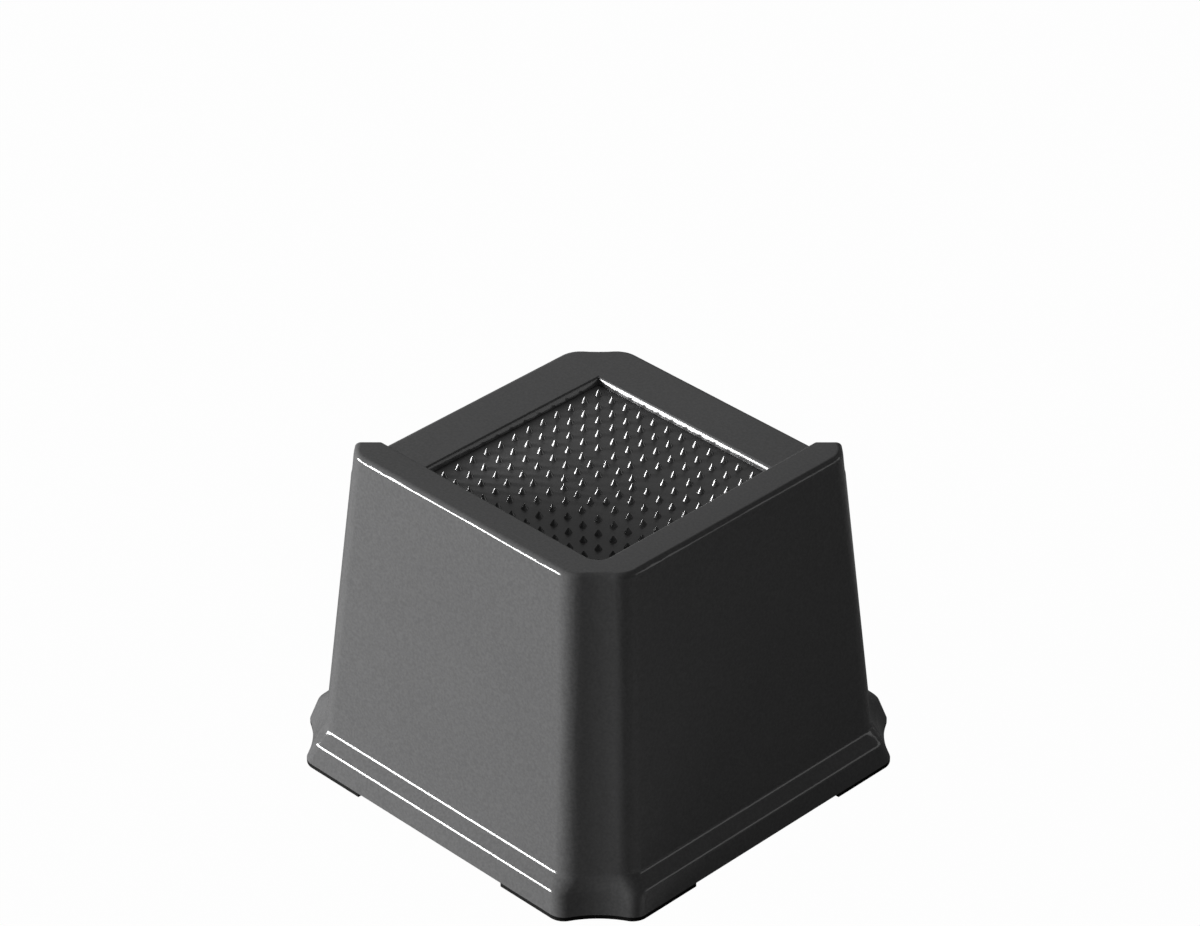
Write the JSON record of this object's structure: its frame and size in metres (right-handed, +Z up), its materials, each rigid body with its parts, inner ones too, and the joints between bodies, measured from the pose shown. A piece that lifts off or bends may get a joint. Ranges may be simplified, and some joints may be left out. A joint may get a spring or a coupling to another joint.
{
  "type": "bed riser",
  "caption": "Square tapered plastic bed riser with a raised L-shaped lip, a recessed rubber mat of small cones, scooped corners and rubber corner pads",
  "frame": {"origin": "on the floor under the middle of the base", "axes": "+Z up; the sides are parallel to X and Y; the lip stands on the -Y (front) and +X (right) sides"},
  "size_m": [0.1512, 0.1512, 0.1164],
  "materials": {
    "plastic_black": "fine spark-eroded matt",
    "rubber_mat": "matt rubber",
    "rubber_pad": "matt rubber"
  },
  "bodies": {
    "root": {"riser_body": "plastic_black", "grip_mat": "rubber_mat", "foot_pad_back_right": "rubber_pad", "foot_pad_back_left": "rubber_pad", "foot_pad_front_left": "rubber_pad", "foot_pad_front_right": "rubber_pad"}
  },
  "joints": []
}
